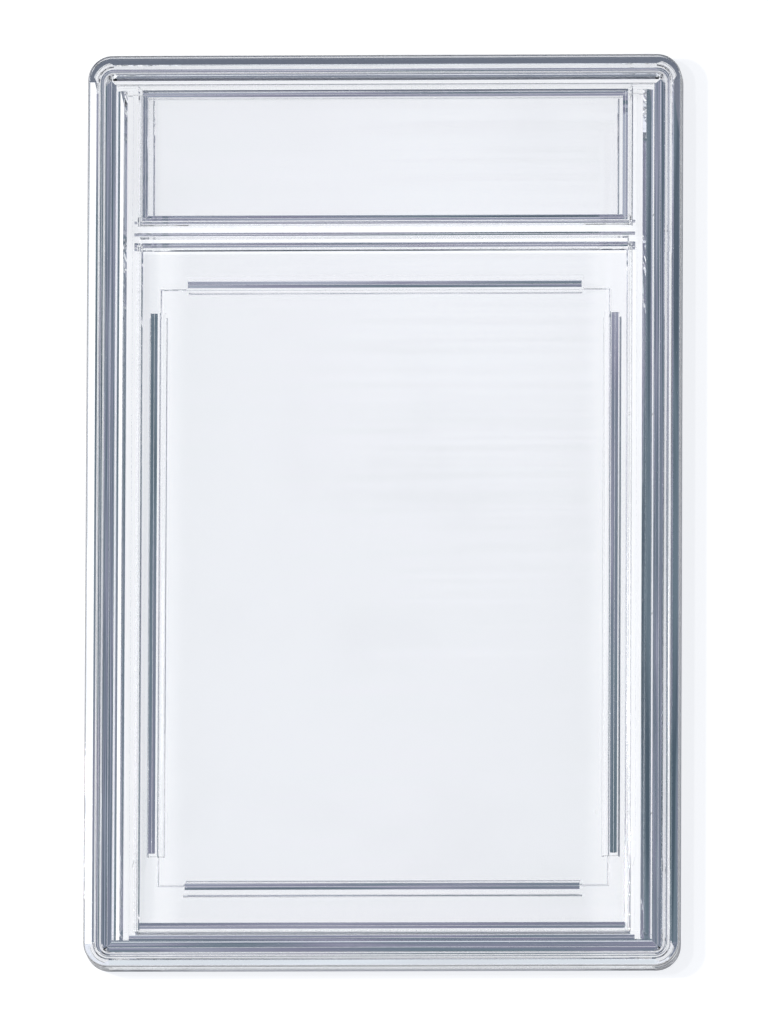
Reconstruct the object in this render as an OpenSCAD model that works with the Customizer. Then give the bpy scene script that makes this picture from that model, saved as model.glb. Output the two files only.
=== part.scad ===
// Clear two-shell display case for one trading card, with a label pocket above it.
// The case lies on its back: +X right, +Y towards the label end, +Z out of the front.
// The origin is on the resting plane, under the middle of the case.

/* [Case] */
// Width across the case
case_w = 88.7; // [88:0.1:90]
// Height of the case, from the bottom edge to the label edge
case_h = 137.1; // [136.5:0.1:139]
// Thickness of the closed case
case_t = 6.6; // [6.6:0.1:7.4]
// Radius of the four corners, seen from the front
corner_r = 3.7; // [3.2:0.1:4]
// Rounding along the outer edges
edge_r = 0.3; // [0.15:0.05:0.5]

/* [Card and label] */
// Width of the card that the rails hold
card_w = 63.5; // [62:0.5:63.5]
// Height of the card that the rails hold
card_h = 88.9; // [88:0.1:88.9]
// Play between the card's long edges and the side rails, in all
card_play_x = 1.8; // [0.8:0.1:1.9]
// Play between the card's short edges and the end rails, in all
card_play_y = 0.3; // [0.2:0.1:0.4]
// Height of the card's centre above the middle of the case
card_y = -10.95; // [-11.1:0.05:-10.7]
// Depth of the card bed in the back pane
bed_depth = 0.3; // [0.2:0.1:0.4]
// Width of the label pocket
label_w = 70.8; // [70.2:0.1:70.9]
// Height of the label pocket
label_h = 17.75; // [16.5:0.05:17.8]
// Height of the label's centre above the middle of the case
label_y = 53.65; // [53.6:0.05:53.75]

/* [Borders] */
// Raised border beside the windows
side_border = 8.05; // [7.9:0.05:8.2]
// Raised border above the label window
top_border = 5; // [4.9:0.1:5.1]
// Raised border below the card window
bottom_border = 5.7; // [5.6:0.05:5.9]
// Top edge of the divider between the two windows
divider_top = 43.3; // [43.2:0.1:43.6]
// Bottom edge of the divider between the two windows
divider_bottom = 39.4; // [39.2:0.1:39.6]
// Top edge of the back shell's divider
back_divider_top = 43.95; // [43.8:0.05:44.1]
// Bottom edge of the back shell's divider
back_divider_bottom = 39.65; // [39.5:0.05:39.9]
// Height of the stacking rim above the border
rim_step = 0.45; // [0.3:0.05:0.5]
// Depth of the front windows below the border
front_recess = 1.15; // [0.8:0.05:1.2]
// Depth of the back windows above the resting face
back_recess = 0.8; // [0.5:0.05:0.9]

/* [Walls] */
// Thickness of the two panes
pane_t = 1.2; // [1:0.1:1.3]
// Thickness of the outer skirt at the parting line
skirt_t = 2.25; // [2.1:0.05:2.3]
// Width of the tongue that seats in the groove
tongue_w = 1.65; // [1.45:0.05:1.65]
// Open seam between the two shells, seen from the side
seam_gap = 0.05; // [0.02:0.01:0.08]
// Thickness of the wall behind the groove
inner_wall_t = 1.05; // [0.9:0.05:1.2]

/* [Rails] */
// Width of the side rails
side_rail_w = 2.4; // [2.3:0.1:2.6]
// Width of the end rails, above and below the card
end_rail_w = 2.1; // [1.9:0.1:2.3]
// Width of the pointed ribs above the card rails
ridge_w = 1.05; // [0.8:0.05:1.1]
// Length of the pointed ribs above the end rails
end_ridge_l = 58.8; // [50:0.2:60]
// Length of the pointed ribs above the side rails
side_ridge_l = 81.2; // [70:0.2:82]

/* [Hidden] */
eps = 0.05;
far = 20;

// Heights of the faces, from the resting plane up
parting_z = case_t / 2;
face_z = case_t - rim_step;
front_pane_z = face_z - front_recess;
ceiling_z = front_pane_z - pane_t;
floor_z = back_recess + pane_t;
bed_z = floor_z - bed_depth;
groove_z = 1.2;
rail_h = 1.1;
rail_top_z = floor_z + rail_h;
tip_gap = 0.1;
ridge_tip_z = rail_top_z + tip_gap;
wall_top_z = ceiling_z - 2 * tip_gap;
tongue_float = 0.14;
tongue_tip_z = groove_z + tongue_float;

// Insets of the walls from the outer edge
skirt_gap = 0.25;
tongue_out = skirt_t + skirt_gap;
tongue_in = tongue_out + tongue_w;
wall_gap = 0.3;
wall_out = tongue_in + wall_gap;
wall_in = wall_out + inner_wall_t;
rim_in = 1.6;
rim_foot = 1.8;
foot_out = 2.25;
foot_step = 0.5;

// Underside of the front skirt: a thin land at the seam, a peaked slot, a bead
tip_flat = 0.04;
lip_z = parting_z + seam_gap;
land = 0.15;
slot_peak = 1.2;
slot_in = 1.5;
bead_in = 2;
bead_w = 0.5;
bead_play = 0.02;
bead_tip_z = parting_z + bead_play;
bead_h = (bead_w - tip_flat) / 2;

// Trough under the front's side borders, behind the tongue: where its slopes
// begin, peak and end, and its far wall
trough_rise = 0.3;
trough_z = ceiling_z + trough_rise;
side_trough = [4.35, 5.3, 5.85, 6.7];

// Fine notches in the front pane's underside, at the edges of the card window and
// over the side ribs: where they begin and end, and how wide they are
notch_w = 0.3;
edge_notch_x = 36.1;
edge_notch_top = 39.5;
rib_notch_x = 36.6;
low_notch_y = 62.85;

// Pointed ridge under the front's bottom border, behind the tongue, and the
// rib that stiffens the pane's bottom edge
low_ridge_w = 0.8;
low_rib_y = -62.1;
low_rib_w = 0.9;
low_rib_l = 72.6;
back_hollow_in = 6.5;

// Slopes at the edges of the windows and along the divider
bevel = 0.6;
bottom_bevel = 0.45;
back_bevel = 0.6;
divider_bar_bottom = 41.2;
terrace_h = 0.55;
terrace_overlap = 2;
window_x = case_w / 2 - side_border;
window_top = case_h / 2 - top_border;
window_bottom = -case_h / 2 + bottom_border;

// Card rails, measured from the card's centre
rail_x = (card_w + card_play_x) / 2;
rail_y = (card_h + card_play_y) / 2;
rail_chamfer = 0.45;
rail_chamfer_h = 0.6;
side_ridge_offset = 1.75;
side_rail_shift = 0.3;
end_ridge_offset = 0.65;
rail_overhang = 0.3;
bed_margin_x = 0.9;
bed_margin_y = 0.25;
bed_slope = 0.15;

// Fine grooves in the back pane's outer face: round the bed and below the
// rails' edges, measured from the card's centre, and beside the label
line_w = 0.3;
end_line = 44.25;
low_line = 46.4;
side_lines = [32.7, 35.1];
label_line_x = 34.7;

// Label frame and the rail below the divider
frame_w = 0.9;
frame_ridge_w = 0.75;
cross_y = 40.2;
cross_w = 1;
cross_l = 74.8;
cross_ridge_w = 0.7;

// Fine pointed ridges under the divider: height above the case's middle, and width
divider_ridges = [[43.6, 0.42], [41.8, 0.5], [39.55, 0.45]];

// Stiffening ribs beside the card window
side_rib_w = 0.75;
side_rib_out = 6.7;
side_rib_top = 39.7;
side_rib_bottom = -53.3;
side_rib_point = 1.6;

// Upright crush ribs that grip the tongue
crush_r = 0.25;
crush_drop = 0.4;
crush_side_y = [-45, -15, 15, 45];
crush_end_x = [-20, 20];

// How far a cutting shape runs past the face that it cuts
over = 1;

clear_front = [0.87, 0.90, 0.95, 0.45];
clear_back = [0.80, 0.85, 0.92, 0.45];

// Rounded rectangle with true arcs, inset from the case's outline
module outline(inset) {
    w = case_w - 2 * inset;
    h = case_h - 2 * inset;
    r = corner_r - inset;
    if (r > 0.1) rounded(w, h, r);
    else square([w, h], center = true);
}

module rounded(w, h, r) {
    square([w - 2 * r, h], center = true);
    square([w, h - 2 * r], center = true);
    for (sx = [-1, 1], sy = [-1, 1])
        translate([sx * (w / 2 - r), sy * (h / 2 - r)]) circle(r, $fn = 64);
}

module slab(inset, z0, z1) {
    translate([0, 0, z0]) linear_extrude(z1 - z0) outline(inset);
}

module block(x0, x1, y0, y1, z0, z1) {
    translate([x0, y0, z0]) cube([x1 - x0, y1 - y0, z1 - z0]);
}

// Sweeps the child profile round the case. The profile's x runs from the
// corner's centre, 0, to the outer face, corner_r, and its y is the height.
module swept(z0, z1) {
    straight_w = case_w - 2 * corner_r;
    straight_h = case_h - 2 * corner_r;
    translate([-straight_w / 2, -straight_h / 2, z0])
        cube([straight_w, straight_h, z1 - z0]);
    for (side = [0, 180]) {
        rotate([0, 0, side]) {
            translate([straight_w / 2, straight_h / 2, 0]) rotate([90, 0, 0])
                linear_extrude(straight_h) children();
            translate([straight_w / 2, straight_h / 2, 0])
                rotate_extrude(angle = 90, $fn = 96) children();
            translate([-straight_w / 2, straight_h / 2, 0]) rotate([90, 0, 90])
                linear_extrude(straight_w) children();
            translate([-straight_w / 2, straight_h / 2, 0]) rotate([0, 0, 90])
                rotate_extrude(angle = 90, $fn = 96) children();
        }
    }
}

// A pocket with sloping sides and mitred corners: lo and hi are its corners at
// the pane, and its sides spread by the slope over its depth. The side at the
// bottom has a slope of its own.
module bevelled_pocket(lo, hi, z_pane, z_mouth, slope, low_slope) {
    deep = abs(z_mouth - z_pane);
    run = (z_mouth > z_pane) ? 1 : -1;
    reach = z_mouth + run * over;
    grow = slope * (deep + over) / deep;
    low_grow = low_slope * (deep + over) / deep;
    intersection() {
        translate([0, case_h, 0]) rotate([90, 0, 0]) linear_extrude(2 * case_h)
            polygon([[lo[0], z_pane], [hi[0], z_pane], [hi[0] + grow, reach], [lo[0] - grow, reach]]);
        translate([-case_h, 0, 0]) rotate([90, 0, 90]) linear_extrude(2 * case_h)
            polygon([[lo[1], z_pane], [hi[1], z_pane], [hi[1] + grow, reach], [lo[1] - low_grow, reach]]);
    }
}

module front_windows() {
    bevelled_pocket([-window_x, divider_top], [window_x, window_top],
        front_pane_z, face_z, bevel, bevel);
    bevelled_pocket([-window_x, window_bottom], [window_x, divider_bottom],
        front_pane_z, face_z, bevel, bottom_bevel);
    bevelled_pocket([-window_x, divider_bottom - terrace_overlap],
        [window_x, divider_bar_bottom - bevel / 2], front_pane_z + terrace_h, face_z, bevel / 2, 0);
}

module back_windows() {
    bevelled_pocket([-window_x, back_divider_top], [window_x, window_top],
        back_recess, 0, back_bevel, back_bevel);
    bevelled_pocket([-window_x, window_bottom], [window_x, back_divider_bottom],
        back_recess, 0, back_bevel, back_bevel);
}

// A rib along X that hangs from the front pane and ends in a point
module pointed_rib(l, w) {
    run = (w - tip_flat) / 2;
    shoulder_z = ridge_tip_z + run;
    root_z = ceiling_z + eps;
    translate([-l / 2, 0, 0]) rotate([90, 0, 90]) linear_extrude(l)
        polygon([[-w / 2, root_z], [-w / 2, shoulder_z], [-tip_flat / 2, ridge_tip_z],
            [tip_flat / 2, ridge_tip_z], [w / 2, shoulder_z], [w / 2, root_z]]);
}

module card_ribs() {
    for (side = [-1, 1]) {
        translate([side * (rail_x + side_ridge_offset), card_y + side_rail_shift, 0])
            rotate([0, 0, 90]) pointed_rib(side_ridge_l, ridge_w);
        translate([0, card_y + side * (rail_y + end_ridge_offset), 0])
            pointed_rib(end_ridge_l, ridge_w);
    }
}

module label_ribs() {
    run_x = label_w + frame_w;
    run_y = label_h + frame_w;
    for (side = [-1, 1]) {
        translate([0, label_y + side * run_y / 2, 0]) pointed_rib(run_x + frame_ridge_w, frame_ridge_w);
        translate([side * run_x / 2, label_y, 0]) rotate([0, 0, 90])
            pointed_rib(run_y + frame_ridge_w, frame_ridge_w);
    }
    translate([0, cross_y, 0]) pointed_rib(cross_l, cross_ridge_w);
    translate([0, low_rib_y, 0]) pointed_rib(low_rib_l, low_rib_w);
}

// The tongue runs all the way round and ends in a point, which centres it
module tongue() {
    tip = (tongue_w - tip_flat) / 2;
    face = corner_r - tongue_out;
    difference() {
        swept(tongue_tip_z, lip_z)
            polygon([[0, lip_z], [0, tongue_tip_z], [face - tip, tongue_tip_z],
                [face, tongue_tip_z + tip], [face, lip_z]]);
        bevelled_pocket([-case_w / 2 + tongue_in, -case_h / 2 + tongue_in],
            [case_w / 2 - tongue_in, case_h / 2 - tongue_in],
            tongue_tip_z + tip, tongue_tip_z, tip, tip);
        slab(tongue_in, tongue_tip_z, far);
    }
}

// Section of a trough, measured inward from the outer edge: a slope up from
// the tongue to a peak, a shorter slope down, and a flat to the far wall
module trough_section(t) {
    peak_z = trough_z + t[1] - t[0];
    fall_z = peak_z - t[2] + t[1];
    polygon([[tongue_in, ceiling_z - eps], [tongue_in, trough_z], [t[0], trough_z], [t[1], peak_z],
        [t[2], fall_z], [t[3], fall_z], [t[3], ceiling_z - eps]]);
}

module front_troughs() {
    l = case_h - 2 * tongue_in - over;
    for (side = [0, 1]) mirror([side, 0, 0])
        translate([-case_w / 2, l - case_h / 2 + tongue_in, 0]) rotate([90, 0, 0])
            linear_extrude(l) trough_section(side_trough);
    w = case_w - 2 * tongue_in;
    run = (low_ridge_w - tip_flat) / 2;
    translate([-w / 2, -case_h / 2 + tongue_in, ceiling_z]) rotate([90, 0, 90]) linear_extrude(w)
        polygon([[0, -eps], [0, run], [run, 0], [run, -eps]]);
    translate([-w / 2, -case_h / 2 + tongue_in + run + tip_flat, ceiling_z]) rotate([90, 0, 90])
        linear_extrude(w) polygon([[0, -eps], [0, 0], [run, run], [run, -eps]]);
}

// A notch along Y with an upright outer wall and an inner slope, at x = 0
module notch(l) {
    rotate([90, 0, 0]) translate([0, 0, -l / 2]) linear_extrude(l)
        polygon([[0, ceiling_z - eps], [0, ceiling_z], [notch_w, ceiling_z + notch_w],
            [notch_w, ceiling_z - eps]]);
}

module front_notches() {
    rib_mid = (side_rib_top + side_rib_bottom) / 2;
    for (side = [0, 1]) mirror([side, 0, 0]) {
        translate([edge_notch_x, (edge_notch_top - low_notch_y) / 2, 0])
            notch(edge_notch_top + low_notch_y);
        translate([rib_notch_x, rib_mid, 0]) notch(side_rib_top - side_rib_bottom);
    }
    translate([0, -low_notch_y, 0]) rotate([0, 0, -90]) notch(2 * edge_notch_x);
}

// Fine ridges that hang from the divider's underside
module divider_points() {
    for (ridge = divider_ridges) {
        half = ridge[1] / 2;
        translate([-cross_l / 2, ridge[0], ceiling_z]) rotate([90, 0, 90]) linear_extrude(cross_l)
            polygon([[-half, eps], [-half, 0], [-tip_flat / 2, tip_flat / 2 - half],
                [tip_flat / 2, tip_flat / 2 - half], [half, 0], [half, eps]]);
    }
}

// Section of the front half at the outer edge, over the tongue's root
module front_section() {
    x = corner_r;
    peak_z = lip_z + slot_peak - land;
    fall_z = peak_z - slot_in + slot_peak;
    root_z = bead_tip_z + bead_h;
    polygon([[0, face_z], [x - rim_foot, face_z], [x - rim_in, case_t], [x - edge_r, case_t],
        [x, case_t - edge_r], [x, lip_z], [x - land, lip_z], [x - slot_peak, peak_z],
        [x - slot_in, fall_z], [x - slot_in, root_z], [x - bead_in + bead_w / 2, root_z],
        [x - bead_in + tip_flat / 2, bead_tip_z], [x - bead_in - tip_flat / 2, bead_tip_z],
        [x - bead_in - bead_w / 2, root_z], [x - tongue_out, root_z], [x - tongue_out, bead_tip_z],
        [0, bead_tip_z]]);
    translate([x - edge_r, case_t - edge_r]) circle(edge_r, $fn = 32);
}

module front_shell() {
    color(clear_front) {
        difference() {
            swept(bead_tip_z, face_z) front_section();
            slab(tongue_in, 0, ceiling_z);
            front_troughs();
            front_notches();
            front_windows();
        }
        tongue();
        card_ribs();
        label_ribs();
        divider_points();
    }
}

// A rail along X for the card's edge at y = 0, with a lead-in chamfer
module card_rail(l, w) {
    top = rail_top_z;
    run = rail_chamfer;
    intersection() {
        translate([-l / 2, 0, 0]) rotate([90, 0, 90]) linear_extrude(l)
            polygon([[0, bed_z - eps], [0, top - rail_chamfer_h], [run, top], [w, top],
                [w, bed_z - eps]]);
        translate([0, w + over, 0]) rotate([90, 0, 0]) linear_extrude(w + 2 * over)
            polygon([[-l / 2, bed_z - eps], [-l / 2, top - run], [run - l / 2, top],
                [l / 2 - run, top], [l / 2, top - run], [l / 2, bed_z - eps]]);
    }
}

module card_rails() {
    for (side = [0, 180]) {
        translate([0, card_y, 0]) rotate([0, 0, side]) translate([0, rail_y, 0])
            card_rail(end_ridge_l + 2 * rail_overhang, end_rail_w);
        translate([0, card_y + side_rail_shift, 0]) rotate([0, 0, side + 90])
            translate([0, rail_x, 0]) card_rail(side_ridge_l + 2 * rail_overhang, side_rail_w);
    }
}

// A fine V groove along X, cut up into the back pane's outer face
module line_groove(l) {
    translate([-l / 2, 0, back_recess]) rotate([90, 0, 90]) linear_extrude(l)
        polygon([[-line_w / 2, -eps], [-line_w / 2, 0], [0, line_w / 2], [line_w / 2, 0],
            [line_w / 2, -eps]]);
}

// The grooves round the bed, below the rails and beside the label
module back_lines() {
    bed_x = rail_x + bed_margin_x;
    bed_y = rail_y + bed_margin_y;
    translate([0, card_y, 0]) for (turn = [0, 180]) rotate([0, 0, turn]) {
        translate([0, bed_y, 0]) line_groove(2 * bed_x + line_w);
        translate([0, end_line, 0]) line_groove(end_ridge_l);
        rotate([0, 0, 90]) {
            translate([0, bed_x, 0]) line_groove(2 * bed_y + line_w);
            for (at = side_lines) translate([0, at, 0]) line_groove(side_ridge_l);
        }
    }
    translate([0, card_y - low_line, 0]) line_groove(end_ridge_l);
    for (side = [-1, 1])
        translate([side * label_line_x, label_y, 0]) rotate([0, 0, 90]) line_groove(label_h);
}

module label_frame() {
    w = label_w + 2 * frame_w;
    h = label_h + 2 * frame_w;
    difference() {
        translate([0, label_y, floor_z - eps]) linear_extrude(rail_top_z - floor_z + eps)
            square([w, h], center = true);
        translate([0, label_y, 0]) linear_extrude(far) square([label_w, label_h], center = true);
    }
    block(-cross_l / 2, cross_l / 2, cross_y - cross_w / 2, cross_y + cross_w / 2,
        floor_z - eps, rail_top_z);
}

module side_ribs() {
    x1 = case_w / 2 - side_rib_out;
    x0 = x1 - side_rib_w;
    for (side = [0, 1]) mirror([side, 0, 0])
        translate([0, 0, floor_z - eps]) linear_extrude(wall_top_z - floor_z + eps)
            polygon([[x0, side_rib_top], [x1, side_rib_top], [x1, side_rib_bottom + side_rib_point],
                [(x0 + x1) / 2, side_rib_bottom], [x0, side_rib_bottom + side_rib_point]]);
}

// Upright half-round ribs on the wall behind the groove
module crush_ribs() {
    x = case_w / 2 - wall_out;
    y = case_h / 2 - wall_out;
    for (side = [-1, 1]) {
        for (at = crush_side_y)
            translate([side * x, at, groove_z - eps])
                cylinder(r = crush_r, h = rail_top_z - groove_z, $fn = 32);
        for (at = crush_end_x)
            translate([at, side * y, groove_z - eps])
                cylinder(r = crush_r, h = rail_top_z - crush_drop - groove_z, $fn = 32);
    }
}

// The groove, with the wall behind it and the hollow beside and below the pane
module back_groove() {
    difference() {
        slab(skirt_t, groove_z, far);
        slab(wall_out, 0, far + over);
    }
    difference() {
        slab(wall_in, groove_z, far);
        block(-case_w / 2 + back_hollow_in, case_w / 2 - back_hollow_in,
            -case_h / 2 + wall_in - over, case_h / 2, 0, far + over);
    }
}

module back_shell() {
    color(clear_back) {
        difference() {
            union() {
                swept(0, parting_z) {
                    translate([0, foot_step + edge_r]) square([corner_r, parting_z - foot_step - edge_r]);
                    translate([0, foot_step]) square([corner_r - edge_r, parting_z - foot_step]);
                    translate([corner_r - edge_r, foot_step + edge_r]) circle(edge_r, $fn = 32);
                    square([corner_r - foot_out, parting_z]);
                }
                slab(wall_out, parting_z - eps, wall_top_z);
            }
            back_groove();
            back_lines();
            slab(wall_in, floor_z, far);
            block(-case_w / 2, case_w / 2, case_h / 2 - wall_in - over, case_h / 2, rail_top_z, far);
            back_windows();
            bevelled_pocket([-rail_x - bed_margin_x, card_y - rail_y - bed_margin_y],
                [rail_x + bed_margin_x, card_y + rail_y + bed_margin_y],
                bed_z, floor_z, bed_slope, bed_slope);
        }
        card_rails();
        label_frame();
        side_ribs();
        crush_ribs();
    }
}

front_shell();
back_shell();
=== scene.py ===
import math

import bmesh
import bpy
from bpy.props import (FloatProperty, FloatVectorProperty, IntProperty,
                       PointerProperty)
from mathutils import Matrix, Vector


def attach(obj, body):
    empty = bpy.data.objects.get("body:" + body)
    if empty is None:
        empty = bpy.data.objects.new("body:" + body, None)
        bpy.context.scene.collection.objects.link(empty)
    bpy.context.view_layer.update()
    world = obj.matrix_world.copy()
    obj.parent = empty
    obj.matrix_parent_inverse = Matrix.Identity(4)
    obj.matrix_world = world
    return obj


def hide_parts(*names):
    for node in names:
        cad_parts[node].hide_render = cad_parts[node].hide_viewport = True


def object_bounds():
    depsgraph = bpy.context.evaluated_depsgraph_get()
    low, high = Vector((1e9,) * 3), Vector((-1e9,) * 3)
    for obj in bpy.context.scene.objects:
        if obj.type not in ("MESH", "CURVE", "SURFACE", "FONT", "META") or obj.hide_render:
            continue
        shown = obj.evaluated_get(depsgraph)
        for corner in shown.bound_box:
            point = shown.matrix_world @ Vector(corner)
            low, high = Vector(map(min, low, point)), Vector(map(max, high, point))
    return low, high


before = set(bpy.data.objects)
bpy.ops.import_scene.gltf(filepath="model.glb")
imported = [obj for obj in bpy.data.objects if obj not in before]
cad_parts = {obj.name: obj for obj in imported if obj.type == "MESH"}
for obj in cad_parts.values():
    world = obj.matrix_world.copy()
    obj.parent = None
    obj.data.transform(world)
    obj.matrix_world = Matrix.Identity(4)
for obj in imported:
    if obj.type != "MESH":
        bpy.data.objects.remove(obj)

bl_info = {
    "name": "Card display case",
    "version": (1, 0, 0),
    "blender": (4, 5, 0),
    "location": "3D View > Sidebar > Card case",
    "description": "Clear two-shell display case for one trading card, and its studio",
    "category": "Object",
}

CAD_BOX = [list(corner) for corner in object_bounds()]
CASE_LOW, CASE_HIGH = Vector(CAD_BOX[0]), Vector(CAD_BOX[1])
MM = 0.001
WHITE = (1, 1, 1, 1)

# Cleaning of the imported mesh: points closer than this are one, faces that turn less than
# this are one flat, and slivers narrower than this are removed
MERGE_DISTANCE = 0.001 * MM
FLAT_ANGLE = math.radians(0.5)
SLIVER = 0.0005 * MM

# Clear polystyrene
REFRACTION = 1.59
OUTLINE_CORNER = 3.7 * MM
SIDE_BORDER = 8 * MM
END_BORDER = 6 * MM

# Painted shade on the outer edges, a thin darker band in the plastic's colour: how deep it
# reaches in from the outline, down from the front and up from the table
EDGE_SHADE_INSIDE, EDGE_SHADE_OUTSIDE = 0.3 * MM, 0.1 * MM
EDGE_SHADE_FRONT = 0.35 * MM
EDGE_SHADE_BACK = 0.8 * MM

# Flow lines: waves per metre across the sides and ends, and where the long sides begin
SIDE_FLOW = (420, 14, 150)
END_FLOW = (14, 420, 150)
FLOW_SIDES = 32.0 * MM

# Handling marks: waves per metre of the haze and of the hairlines each way
HAZE_WAVES = 60.0
HAZE_LOSS = 0.012
HAIRLINES_UP = (900, 30, 200)
HAIRLINES_ACROSS = (40, 1100, 200)

# Table, lights and cards, in metres
TABLE_SIZE = 8
TABLE_DROP = 0.05 * MM
KEY_PLACE = (-0.34, 0.04, 0.68)
KEY_SIZE = (0.035, 0.035)
CARD_AIM = (0, 0, 0.16)
CARD_SIZE = (1.2, 0.34)
CARD_COLOUR = (0.95, 0.97, 1)
LEFT_CARD_PLACE = (-0.6, 0, 0.16)
NEAR_CARD_PLACE = (0, -0.6, 0.16)

# Dark flag: length, height, gap to the case and height of its middle
FLAG_LENGTH = 1.2
FLAG_HEIGHT = 7 * MM
FLAG_GAP = 5 * MM
FLAG_MIDDLE = 4 * MM
FELT = (0.02, 0.02, 0.02, 1)
FELT_GLOW = (0.13, 0.15, 0.195, 1)

# Patches of the room: waves over the whole sky, and the stops of their tones, as shares
# of the room's colour
ROOM_WAVES = 45.0
ROOM_STOPS = ((0.34, (0.36, 0.46, 0.48)), (0.45, (0.8, 0.94, 0.9)),
              (0.55, (1.22, 1.04, 1.16)), (0.68, (2.1, 2.0, 1.9)))

# Camera
SENSOR = 36
CLIP_START = 0.05
VIEW_SHIFT = Vector((0.0, 0.1, 0)) * MM


# settings

class CaseSizes(bpy.types.PropertyGroup):
    """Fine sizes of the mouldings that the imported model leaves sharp."""
    edge_soft: FloatProperty(
        name="Edge radius", description="Radius moulded on the inner edges of both shells",
        default=0.08 * MM, min=0.0, max=0.2 * MM, unit="LENGTH", precision=6)
    edge_segments: IntProperty(
        name="Edge segments", description="Facets across each moulded edge",
        default=3, min=1, max=6)
    narrow_face: FloatProperty(
        name="Narrow face", description="Faces narrower than this keep their sharp edges",
        default=0.32 * MM, min=0.0, max=1 * MM, unit="LENGTH", precision=6)
    sharp_angle: FloatProperty(
        name="Sharp angle", description="Edges that turn less than this count as smooth",
        default=math.radians(25), min=0.0, max=math.pi, subtype="ANGLE")


class CaseFinish(bpy.types.PropertyGroup):
    """Colours and finish of the clear plastic."""
    front_tint: FloatVectorProperty(
        name="Front tint", description="Colour of the front shell's plastic",
        subtype="COLOR", size=3, min=0.0, max=1.0, default=(0.996, 0.997, 0.998))
    back_tint: FloatVectorProperty(
        name="Back tint", description="Colour of the back shell's plastic",
        subtype="COLOR", size=3, min=0.0, max=1.0, default=(0.993, 0.995, 0.997))
    polish: FloatProperty(
        name="Polish roughness", description="Roughness of the clean surface",
        default=0.01, min=0.0, max=0.3)
    flow_depth: FloatProperty(
        name="Flow depth", description="Height of the flow lines left by the moulding",
        default=0.014 * MM, min=0.0, max=0.5 * MM, unit="LENGTH", precision=6)
    # painted shade: darkens the plastic's colour in a thin band along the outer edges
    painted_edge_shade: FloatProperty(
        name="Painted edge shade", description="Share of light lost at the worn outer edges",
        default=0.8, min=0.0, max=1.0)
    pane_shade: FloatVectorProperty(
        name="Pane shade",
        description="Share of the light that each face of the panes lets through to the floor",
        subtype="COLOR", size=3, min=0.0, max=1.0, default=(0.96, 0.965, 0.975))
    border_shade: FloatVectorProperty(
        name="Border shade",
        description="Share of the light that each face of the border lets through to the floor",
        subtype="COLOR", size=3, min=0.0, max=1.0, default=(0.72, 0.74, 0.77))


class StudioSettings(bpy.types.PropertyGroup):
    """Floor, lights and camera."""
    floor_tone: FloatProperty(
        name="Floor tone", description="Diffuse grey of the floor",
        default=0.4, min=0.0, max=1.0)
    floor_white: FloatProperty(
        name="Floor white", description="White added to the floor where the camera sees it",
        default=0.74, min=0.0, max=1.0)
    floor_through: FloatProperty(
        name="Floor seen through",
        description="White added to the floor where the plastic shows it",
        default=0.725, min=0.0, max=1.0)
    glow: FloatProperty(
        name="Edge glow",
        description="Light that the borders throw onto the floor under the panes' edges",
        default=0.09, min=0.0, max=1.0)
    border_glow: FloatProperty(
        name="Border glow",
        description="Light that the borders gather on the floor below them",
        default=0.26, min=0.0, max=1.0)
    outer_glow: FloatProperty(
        name="Outer glow",
        description="Light that the outer walls gather on the floor below them",
        default=0.08, min=0.0, max=1.0)
    contact: FloatProperty(
        name="Contact shade",
        description="How much darker the floor looks right beside the case",
        default=0.95, min=0.0, max=1.0)
    contact_reach: FloatProperty(
        name="Contact width",
        description="How far the contact shade reaches out from the case",
        default=0.9 * MM, min=0.01 * MM, max=5 * MM, unit="LENGTH", precision=5)
    pane_soft: FloatProperty(
        name="Glow width",
        description="How far the glow of the borders reaches in under the panes",
        default=3.5 * MM, min=0.1 * MM, max=30 * MM, unit="LENGTH", precision=4)
    room: FloatVectorProperty(
        name="Room", description="Colour of the room above the case, seen in its slopes",
        subtype="COLOR", size=3, min=0.0, max=1.0, default=(0.19, 0.22, 0.28))
    key_power: FloatProperty(
        name="Key light", description="Power of the light at the upper left",
        default=3.6, min=0.0, max=100.0, unit="POWER")
    card_power: FloatProperty(
        name="Side cards", description="Power of the pale cards at the left and near sides",
        default=0.88, min=0.0, max=100.0, unit="POWER")
    light_bounces: IntProperty(
        name="Light bounces", description="How often light may turn inside the clear plastic",
        default=32, min=4, max=128)
    camera_tilt: FloatProperty(
        name="Camera tilt", description="Lean of the view towards the near edge",
        default=math.radians(8), subtype="ANGLE")
    camera_turn: FloatProperty(
        name="Camera turn", description="Lean of the view towards the right edge",
        default=math.radians(3), subtype="ANGLE")
    camera_roll: FloatProperty(
        name="Camera roll", description="Turn of the picture, clockwise",
        default=math.radians(0.25), subtype="ANGLE")
    camera_distance: FloatProperty(
        name="Camera distance", description="Distance from the camera to the case",
        default=4.5, min=0.2, max=10.0, unit="LENGTH")
    view_height: FloatProperty(
        name="View height", description="Height of the picture at the case",
        default=152.6 * MM, min=0.05, max=1.0, unit="LENGTH")


# node helpers

def wire(tree, source, target):
    tree.links.new(source, target)


def split_axes(tree, vector):
    """The X, Y and Z outputs of a vector."""
    node = tree.nodes.new("ShaderNodeSeparateXYZ")
    wire(tree, vector, node.inputs[0])
    return node.outputs


def value_node(tree, operation, first, second=None, clamp=False):
    """A Math node; each input is a number or a socket."""
    node = tree.nodes.new("ShaderNodeMath")
    node.operation = operation
    node.use_clamp = clamp
    for socket, given in zip(node.inputs, (first, second)):
        if isinstance(given, bpy.types.NodeSocket):
            wire(tree, given, socket)
        elif given is not None:
            socket.default_value = given
    return node.outputs[0]


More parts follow.
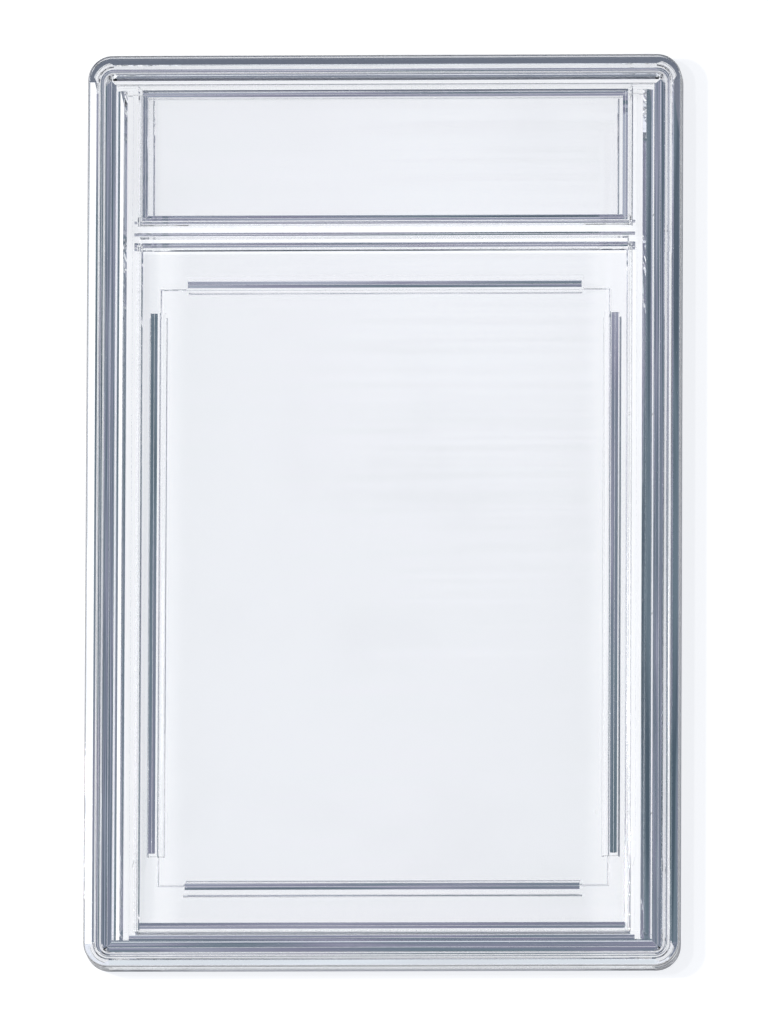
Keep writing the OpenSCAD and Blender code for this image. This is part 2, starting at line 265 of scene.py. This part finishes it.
def remap(tree, value, low, high, to_low=0.0, to_high=1.0):
    """A soft step from to_low at low to to_high at high."""
    node = tree.nodes.new("ShaderNodeMapRange")
    node.interpolation_type = "SMOOTHSTEP"
    wire(tree, value, node.inputs["Value"])
    for name, number in (("From Min", low), ("From Max", high),
                         ("To Min", to_low), ("To Max", to_high)):
        node.inputs[name].default_value = number
    return node.outputs["Result"]


def stretched_noise(tree, vector, scale, stretch, detail, seed):
    """Noise over the piece's own coordinates, stretched along the axes."""
    mapping = tree.nodes.new("ShaderNodeMapping")
    mapping.inputs["Scale"].default_value = stretch
    mapping.inputs["Location"].default_value = (seed, seed * 0.7, seed * 1.3)
    noise = tree.nodes.new("ShaderNodeTexNoise")
    noise.inputs["Scale"].default_value = scale
    noise.inputs["Detail"].default_value = detail
    wire(tree, vector, mapping.inputs["Vector"])
    wire(tree, mapping.outputs["Vector"], noise.inputs["Vector"])
    return noise.outputs["Fac"]


def new_group(name, inputs, outputs):
    """An empty shader node group with named sockets."""
    tree = bpy.data.node_groups.new(name, "ShaderNodeTree")
    for label, kind, default in inputs:
        socket = tree.interface.new_socket(label, in_out="INPUT", socket_type=kind)
        if default is not None:
            socket.default_value = default
    for label, kind in outputs:
        tree.interface.new_socket(label, in_out="OUTPUT", socket_type=kind)
    return tree, tree.nodes.new("NodeGroupInput"), tree.nodes.new("NodeGroupOutput")


def outline_group():
    """Distance from the case's outline, seen from the front; below zero inside."""
    tree, given, made = new_group(
        "Outline distance", [("Vector", "NodeSocketVector", None)],
        [("Distance", "NodeSocketFloat")])
    axes = split_axes(tree, given.outputs["Vector"])
    past = []
    for axis, half in (("X", CASE_HIGH.x), ("Y", CASE_HIGH.y)):
        length = value_node(tree, "SUBTRACT", value_node(tree, "ABSOLUTE", axes[axis]),
                            half - OUTLINE_CORNER)
        length = value_node(tree, "MAXIMUM", length, 0.0)
        past.append(value_node(tree, "MULTIPLY", length, length))
    reach = value_node(tree, "SQRT", value_node(tree, "ADD", *past))
    wire(tree, value_node(tree, "SUBTRACT", reach, OUTLINE_CORNER), made.inputs["Distance"])


def flow_group():
    """Flow lines: long shallow waves that follow the border they lie in."""
    tree, given, made = new_group(
        "Moulding flow",
        [("Vector", "NodeSocketVector", None),
         ("Side Border", "NodeSocketFloat", FLOW_SIDES)],
        [("Height", "NodeSocketFloat")])
    vector = given.outputs["Vector"]
    axes = split_axes(tree, vector)
    across = value_node(tree, "ABSOLUTE", axes["X"])
    beside = value_node(tree, "GREATER_THAN", across, given.outputs["Side Border"])
    mitre = value_node(tree, "SUBTRACT", value_node(tree, "ABSOLUTE", axes["Y"]), across)
    mitre = value_node(tree, "LESS_THAN", mitre, CASE_HIGH.y - CASE_HIGH.x)
    beside = value_node(tree, "MULTIPLY", beside, mitre)
    upright = stretched_noise(tree, vector, 1.0, SIDE_FLOW, detail=1.0, seed=3.1)
    level = stretched_noise(tree, vector, 1.0, END_FLOW, detail=1.0, seed=7.7)
    pick = tree.nodes.new("ShaderNodeMix")
    wire(tree, beside, pick.inputs["Factor"])
    wire(tree, level, pick.inputs["A"])
    wire(tree, upright, pick.inputs["B"])
    wire(tree, pick.outputs["Result"], made.inputs["Height"])


def marks_group():
    """Handling marks: hairlines and a faint haze, as a roughness and a tone."""
    tree, given, made = new_group(
        "Handling marks",
        [("Vector", "NodeSocketVector", None),
         ("Polish", "NodeSocketFloat", 0.01),
         ("Haze", "NodeSocketFloat", 0.02)],
        [("Roughness", "NodeSocketFloat"), ("Tone", "NodeSocketFloat")])
    vector = given.outputs["Vector"]
    haze = stretched_noise(tree, vector, HAZE_WAVES, (1, 1, 1), detail=4.0, seed=1.3)
    haze = remap(tree, haze, 0.45, 0.75)
    line_a = stretched_noise(tree, vector, 1.0, HAIRLINES_UP, detail=1.0, seed=5.0)
    line_a = remap(tree, line_a, 0.72, 0.78)
    line_b = stretched_noise(tree, vector, 1.0, HAIRLINES_ACROSS, detail=1.0, seed=9.0)
    line_b = remap(tree, line_b, 0.73, 0.79)
    lines = value_node(tree, "MAXIMUM", line_a, line_b)
    extra = value_node(tree, "ADD", haze, lines)
    extra = value_node(tree, "MULTIPLY", extra, given.outputs["Haze"])
    wire(tree, value_node(tree, "ADD", given.outputs["Polish"], extra), made.inputs["Roughness"])
    loss = value_node(tree, "MULTIPLY", haze, HAZE_LOSS)
    wire(tree, value_node(tree, "SUBTRACT", 1.0, loss), made.inputs["Tone"])


def add_group(tree, name, **values):
    """A node group in a material; an underscore in a value's name is a space."""
    node = tree.nodes.new("ShaderNodeGroup")
    node.node_tree = bpy.data.node_groups[name]
    for label, given in values.items():
        socket = node.inputs[label.replace("_", " ")]
        if isinstance(given, bpy.types.NodeSocket):
            wire(tree, given, socket)
        else:
            socket.default_value = given
    return node.outputs


def painted_edge_shade(tree, place, finish):
    """Painted shade: share of the plastic's colour kept in a thin darker band along the outer
    edges, front and back.
    """
    distance = add_group(tree, "Outline distance", Vector=place)["Distance"]
    rim = remap(tree, distance, -EDGE_SHADE_INSIDE, -EDGE_SHADE_OUTSIDE)
    height = split_axes(tree, place)["Z"]
    high = value_node(tree, "GREATER_THAN", height, CASE_HIGH.z - EDGE_SHADE_FRONT)
    low = value_node(tree, "LESS_THAN", height, EDGE_SHADE_BACK)
    edge = value_node(tree, "MULTIPLY", rim, value_node(tree, "MAXIMUM", high, low))
    loss = value_node(tree, "MULTIPLY", edge, finish.painted_edge_shade)
    return value_node(tree, "SUBTRACT", 1.0, loss)


def floor_shade(tree, place, finish):
    """Colour of the light that a face lets through to the floor, border or pane."""
    axes = split_axes(tree, place)
    beside = value_node(tree, "GREATER_THAN", value_node(tree, "ABSOLUTE", axes["X"]),
                        CASE_HIGH.x - SIDE_BORDER)
    beyond = value_node(tree, "GREATER_THAN", value_node(tree, "ABSOLUTE", axes["Y"]),
                        CASE_HIGH.y - END_BORDER)
    shade = tree.nodes.new("ShaderNodeMix")
    shade.data_type = "RGBA"
    wire(tree, value_node(tree, "MAXIMUM", beside, beyond), shade.inputs["Factor"])
    shade.inputs["A"].default_value = (*finish.pane_shade, 1.0)
    shade.inputs["B"].default_value = (*finish.border_shade, 1.0)
    return shade.outputs["Result"]


def clear_plastic(name, tint, finish):
    """Polished clear polystyrene, with flow lines and handling marks."""
    material = bpy.data.materials.new(name)
    material.use_nodes = True
    tree = material.node_tree
    tree.nodes.clear()
    place = tree.nodes.new("ShaderNodeTexCoord").outputs["Object"]
    flow = add_group(tree, "Moulding flow", Vector=place)
    marks = add_group(tree, "Handling marks", Vector=place, Polish=finish.polish)
    bump = tree.nodes.new("ShaderNodeBump")
    bump.inputs["Strength"].default_value = 1.0
    bump.inputs["Distance"].default_value = finish.flow_depth
    wire(tree, flow["Height"], bump.inputs["Height"])
    tone = tree.nodes.new("ShaderNodeMix")
    tone.data_type = "RGBA"
    tone.blend_type = "MULTIPLY"
    tone.inputs["Factor"].default_value = 1.0
    tone.inputs["A"].default_value = (*tint, 1.0)
    # painted shade: a thin darker band along the outer edges, front and back
    rim_shade = painted_edge_shade(tree, place, finish)
    wire(tree, value_node(tree, "MULTIPLY", marks["Tone"], rim_shade), tone.inputs["B"])
    plastic = tree.nodes.new("ShaderNodeBsdfPrincipled")
    plastic.inputs["IOR"].default_value = REFRACTION
    plastic.inputs["Transmission Weight"].default_value = 1.0
    wire(tree, tone.outputs["Result"], plastic.inputs["Base Color"])
    wire(tree, marks["Roughness"], plastic.inputs["Roughness"])
    wire(tree, bump.outputs["Normal"], plastic.inputs["Normal"])
    # light on its way to the floor passes straight through, tinted
    through = tree.nodes.new("ShaderNodeBsdfTransparent")
    wire(tree, floor_shade(tree, place, finish), through.inputs["Color"])
    mix = tree.nodes.new("ShaderNodeMixShader")
    ray = tree.nodes.new("ShaderNodeLightPath").outputs
    out = tree.nodes.new("ShaderNodeOutputMaterial")
    to_floor = value_node(tree, "MAXIMUM", ray["Is Shadow Ray"], ray["Is Diffuse Ray"])
    wire(tree, to_floor, mix.inputs[0])
    wire(tree, plastic.outputs[0], mix.inputs[1])
    wire(tree, through.outputs[0], mix.inputs[2])
    wire(tree, mix.outputs[0], out.inputs["Surface"])
    return material


# shells

def face_width(face):
    """A face's area over its longest edge."""
    longest = max(edge.calc_length() for edge in face.edges)
    return face.calc_area() / longest if longest else 0.0


def moulded_copy(node_name, piece_name, sizes):
    """A copy of a CAD node with its flats joined up and its edges eased."""
    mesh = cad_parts[node_name].data.copy()
    mesh.name = piece_name
    bm = bmesh.new()
    bm.from_mesh(mesh)
    bmesh.ops.remove_doubles(bm, verts=bm.verts, dist=MERGE_DISTANCE)
    bmesh.ops.dissolve_limit(bm, angle_limit=FLAT_ANGLE, verts=bm.verts, edges=bm.edges)
    bmesh.ops.recalc_face_normals(bm, faces=bm.faces)
    width = {face: face_width(face) for face in bm.faces}
    eased = []
    for edge in bm.edges:
        if len(edge.link_faces) != 2 or edge.calc_face_angle(0.0) < sizes.sharp_angle:
            continue
        if min(width[face] for face in edge.link_faces) < sizes.narrow_face:
            continue
        eased.append(edge)
    if sizes.edge_soft > 0.0 and eased:
        bmesh.ops.bevel(bm, geom=eased, offset=sizes.edge_soft, offset_type="OFFSET",
                        segments=sizes.edge_segments, profile=0.5, affect="EDGES",
                        clamp_overlap=True, material=-1)
    bmesh.ops.dissolve_degenerate(bm, dist=SLIVER, edges=bm.edges)
    bmesh.ops.triangulate(bm, faces=[face for face in bm.faces if len(face.verts) > 4])
    bm.to_mesh(mesh)
    bm.free()
    mesh.materials.clear()
    piece = bpy.data.objects.new(piece_name, mesh)
    bpy.context.scene.collection.objects.link(piece)
    return piece


def finish_shell(piece, node_name, body, slot, tint, finish):
    """Give a shell its plastic, named for its slot, attach it to its body and hide the CAD node it
    replaces.
    """
    piece.data.materials.append(clear_plastic(slot, tint, finish))
    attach(piece, body)
    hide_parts(node_name)


class CARDCASE_OT_back_shell(bpy.types.Operator):
    """Make the back shell: skirt, groove, card bed, rails and label frame"""
    bl_idname = "cardcase.back_shell"
    bl_label = "Back shell"

    def execute(self, context):
        scene = context.scene
        finish = scene.case_finish
        piece = moulded_copy("back_shell", "back_shell_moulding", scene.case_sizes)
        finish_shell(piece, "back_shell", "base", "clear_back", finish.back_tint, finish)
        return {"FINISHED"}


class CARDCASE_OT_front_shell(bpy.types.Operator):
    """Make the front shell: border, stacking rim, windows, tongue and pointed ribs"""
    bl_idname = "cardcase.front_shell"
    bl_label = "Front shell"

    def execute(self, context):
        scene = context.scene
        finish = scene.case_finish
        piece = moulded_copy("front_shell", "front_shell_moulding", scene.case_sizes)
        finish_shell(piece, "front_shell", "cover", "clear_front", finish.front_tint, finish)
        return {"FINISHED"}


# stage

# Middle height, half width and half height of parts of the floor: away from the card
# window's long edges, under the two windows, and inside the outer walls
CALM_PANES = ((-11.75 * MM, 32.8 * MM, 60 * MM), (53.5 * MM, 42 * MM, 14 * MM))
WINDOWS = ((-11.75 * MM, 36.5 * MM, 51.3 * MM), (53.5 * MM, 36.5 * MM, 10.1 * MM))
INSIDE = ((0, 41.8 * MM, 66 * MM),)

# Soft edges of the windows' and the walls' glow, and how far the contact shade reaches in
WINDOW_SOFT = 0.3 * MM
WALL_SOFT = 0.5 * MM
CONTACT_INSIDE = 0.1 * MM


def inside_any(tree, axes, areas, soft):
    """1 within the areas and 0 outside, over a soft edge that lies inside."""
    found = None
    for middle, half_w, half_h in areas:
        across = value_node(tree, "SUBTRACT", value_node(tree, "ABSOLUTE", axes["X"]), half_w)
        up = value_node(tree, "SUBTRACT", axes["Y"], middle)
        up = value_node(tree, "SUBTRACT", value_node(tree, "ABSOLUTE", up), half_h)
        inside = remap(tree, value_node(tree, "MAXIMUM", across, up), 0.0, -soft)
        found = inside if found is None else value_node(tree, "MAXIMUM", found, inside)
    return found


def floor_material(studio):
    """White table: plain to the camera, with soft glows where the plastic shows it."""
    material = bpy.data.materials.new("white table")
    material.use_nodes = True
    tree = material.node_tree
    surface = tree.nodes["Principled BSDF"]
    surface.inputs["Base Color"].default_value = (studio.floor_tone,) * 3 + (1.0,)
    surface.inputs["Roughness"].default_value = 1.0
    surface.inputs["Specular IOR Level"].default_value = 0.0
    surface.inputs["Emission Color"].default_value = WHITE
    place = tree.nodes.new("ShaderNodeTexCoord").outputs["Object"]
    axes = split_axes(tree, place)
    lift = None
    for areas, soft, glow in (
            (CALM_PANES, studio.pane_soft, studio.glow),
            (WINDOWS, WINDOW_SOFT, studio.border_glow - studio.glow),
            (INSIDE, WALL_SOFT, studio.outer_glow - studio.border_glow)):
        around = value_node(tree, "SUBTRACT", 1.0, inside_any(tree, axes, areas, soft))
        part = value_node(tree, "MULTIPLY", around, glow)
        lift = part if lift is None else value_node(tree, "ADD", lift, part)
    ray = tree.nodes.new("ShaderNodeLightPath").outputs
    through = value_node(tree, "ADD", ray["Is Glossy Ray"], ray["Is Transmission Ray"], clamp=True)
    white = value_node(tree, "ADD", lift, studio.floor_through)
    through = value_node(tree, "MULTIPLY", through, white)
    distance = add_group(tree, "Outline distance", Vector=place)["Distance"]
    near = remap(tree, distance, 0.0, studio.contact_reach, studio.contact, 0.0)
    outside = value_node(tree, "GREATER_THAN", distance, -CONTACT_INSIDE)
    near = value_node(tree, "MULTIPLY", near, outside)
    through = value_node(tree, "MULTIPLY", through, value_node(tree, "SUBTRACT", 1.0, near))
    direct = value_node(tree, "MULTIPLY", ray["Is Camera Ray"], studio.floor_white)
    wire(tree, value_node(tree, "MAXIMUM", through, direct), surface.inputs["Emission Strength"])
    return material


def make_floor(studio):
    """The table, a hair below the case."""
    bpy.ops.mesh.primitive_plane_add(size=TABLE_SIZE, location=(0, 0, -TABLE_DROP))
    floor = bpy.context.object
    floor.name = "floor"
    floor.data.materials.append(floor_material(studio))


def make_room(studio):
    """White to the camera, and a dim patchy room in the plastic's slopes."""
    world = bpy.data.worlds.new("room")
    bpy.context.scene.world = world
    world.use_nodes = True
    tree = world.node_tree
    background = tree.nodes["Background"]
    ray = tree.nodes.new("ShaderNodeLightPath").outputs
    place = tree.nodes.new("ShaderNodeTexCoord").outputs["Generated"]
    patches = stretched_noise(tree, place, ROOM_WAVES, (1, 1, 1), detail=2.0, seed=0.0)
    ramp = tree.nodes.new("ShaderNodeValToRGB")
    elements = ramp.color_ramp.elements
    while len(elements) < len(ROOM_STOPS):
        elements.new(0.5)
    for element, (at, tone) in zip(elements, ROOM_STOPS):
        element.position = at
        element.color = (*(room * share for room, share in zip(studio.room, tone)), 1.0)
    wire(tree, patches, ramp.inputs["Fac"])
    pick = tree.nodes.new("ShaderNodeMix")
    pick.data_type = "RGBA"
    wire(tree, ray["Is Camera Ray"], pick.inputs["Factor"])
    wire(tree, ramp.outputs["Color"], pick.inputs["A"])
    pick.inputs["B"].default_value = WHITE
    wire(tree, pick.outputs["Result"], background.inputs["Color"])


def make_light(name, place, aim, size, power, colour=(1, 1, 1)):
    """A rectangular light at a place, turned towards its aim."""
    data = bpy.data.lights.new(name, "AREA")
    data.shape = "RECTANGLE"
    data.size, data.size_y = size
    data.energy = power
    data.color = colour
    light = bpy.data.objects.new(name, data)
    bpy.context.scene.collection.objects.link(light)
    light.location = place
    light.rotation_euler = (Vector(aim) - Vector(place)).to_track_quat("-Z", "Y").to_euler()


def make_flag():
    """A dark card past the label end, which only the clear plastic sees."""
    bm = bmesh.new()
    bmesh.ops.create_grid(bm, x_segments=1, y_segments=1, size=0.5)
    bmesh.ops.scale(bm, vec=(FLAG_LENGTH, FLAG_HEIGHT, 1), verts=bm.verts)
    bmesh.ops.rotate(bm, cent=(0, 0, 0), matrix=Matrix.Rotation(math.pi / 2, 3, "X"),
                     verts=bm.verts)
    bmesh.ops.translate(bm, vec=(0, CASE_HIGH.y + FLAG_GAP, FLAG_MIDDLE), verts=bm.verts)
    mesh = bpy.data.meshes.new("dark flag")
    bm.to_mesh(mesh)
    bm.free()
    material = bpy.data.materials.new("dark felt")
    material.use_nodes = True
    surface = material.node_tree.nodes["Principled BSDF"]
    surface.inputs["Base Color"].default_value = FELT
    surface.inputs["Roughness"].default_value = 1.0
    surface.inputs["Emission Color"].default_value = FELT_GLOW
    surface.inputs["Emission Strength"].default_value = 1.0
    mesh.materials.append(material)
    flag = bpy.data.objects.new("dark_flag", mesh)
    bpy.context.scene.collection.objects.link(flag)
    flag.visible_camera = False
    flag.visible_shadow = False
    flag.visible_diffuse = False


def make_camera(studio):
    """Nearly straight above the case, leaning towards its near and right edges."""
    tilt, turn = studio.camera_tilt, studio.camera_turn
    away = Vector((math.sin(turn), -math.sin(tilt) * math.cos(turn),
                   math.cos(tilt) * math.cos(turn)))
    across = Vector((0, 1, 0)).cross(away).normalized()
    upward = away.cross(across)
    data = bpy.data.cameras.new("camera")
    data.sensor_width = SENSOR
    data.lens = data.sensor_width * studio.camera_distance / studio.view_height
    data.clip_start = CLIP_START
    camera = bpy.data.objects.new("camera", data)
    bpy.context.scene.collection.objects.link(camera)
    middle = (CASE_LOW + CASE_HIGH) / 2 + VIEW_SHIFT
    turned = Matrix((across, upward, away)).transposed().to_4x4()
    turned @= Matrix.Rotation(studio.camera_roll, 4, "Z")
    camera.matrix_world = Matrix.Translation(middle + away * studio.camera_distance) @ turned
    bpy.context.scene.camera = camera


class CARDCASE_OT_stage(bpy.types.Operator):
    """Make the white table, the room, the lights and the camera"""
    bl_idname = "cardcase.stage"
    bl_label = "Studio"

    def execute(self, context):
        scene = context.scene
        studio = scene.case_studio
        make_floor(studio)
        make_room(studio)
        make_light("key light", KEY_PLACE, (0, 0, 0), KEY_SIZE, studio.key_power)
        make_light("left card", LEFT_CARD_PLACE, CARD_AIM, CARD_SIZE, studio.card_power,
                   CARD_COLOUR)
        make_light("near card", NEAR_CARD_PLACE, CARD_AIM, CARD_SIZE, studio.card_power,
                   CARD_COLOUR)
        make_flag()
        make_camera(studio)
        scene.cycles.max_bounces = studio.light_bounces
        scene.cycles.transmission_bounces = studio.light_bounces
        scene.cycles.glossy_bounces = studio.light_bounces
        scene.cycles.transparent_max_bounces = studio.light_bounces
        scene.view_settings.view_transform = "Standard"
        return {"FINISHED"}


class CARDCASE_PT_panel(bpy.types.Panel):
    """Lists the case's pieces and its sizes"""
    bl_idname = "CARDCASE_PT_panel"
    bl_label = "Card case"
    bl_space_type = "VIEW_3D"
    bl_region_type = "UI"
    bl_category = "Card case"

    def draw(self, context):
        for name in ("back_shell", "front_shell", "stage"):
            self.layout.operator("cardcase." + name)
        scene = context.scene
        for settings in (scene.case_sizes, scene.case_finish, scene.case_studio):
            for name in settings.__annotations__:
                self.layout.prop(settings, name)


CLASSES = (CaseSizes, CaseFinish, StudioSettings, CARDCASE_OT_back_shell, CARDCASE_OT_front_shell,
           CARDCASE_OT_stage, CARDCASE_PT_panel)


def register():
    for cls in CLASSES:
        bpy.utils.register_class(cls)
    bpy.types.Scene.case_sizes = PointerProperty(type=CaseSizes)
    bpy.types.Scene.case_finish = PointerProperty(type=CaseFinish)
    bpy.types.Scene.case_studio = PointerProperty(type=StudioSettings)


def unregister():
    del bpy.types.Scene.case_studio
    del bpy.types.Scene.case_finish
    del bpy.types.Scene.case_sizes
    for cls in reversed(CLASSES):
        bpy.utils.unregister_class(cls)


def main():
    register()
    outline_group()
    flow_group()
    marks_group()
    bpy.ops.cardcase.back_shell()
    bpy.ops.cardcase.front_shell()
    bpy.ops.cardcase.stage()


if __name__ == "__main__":
    main()
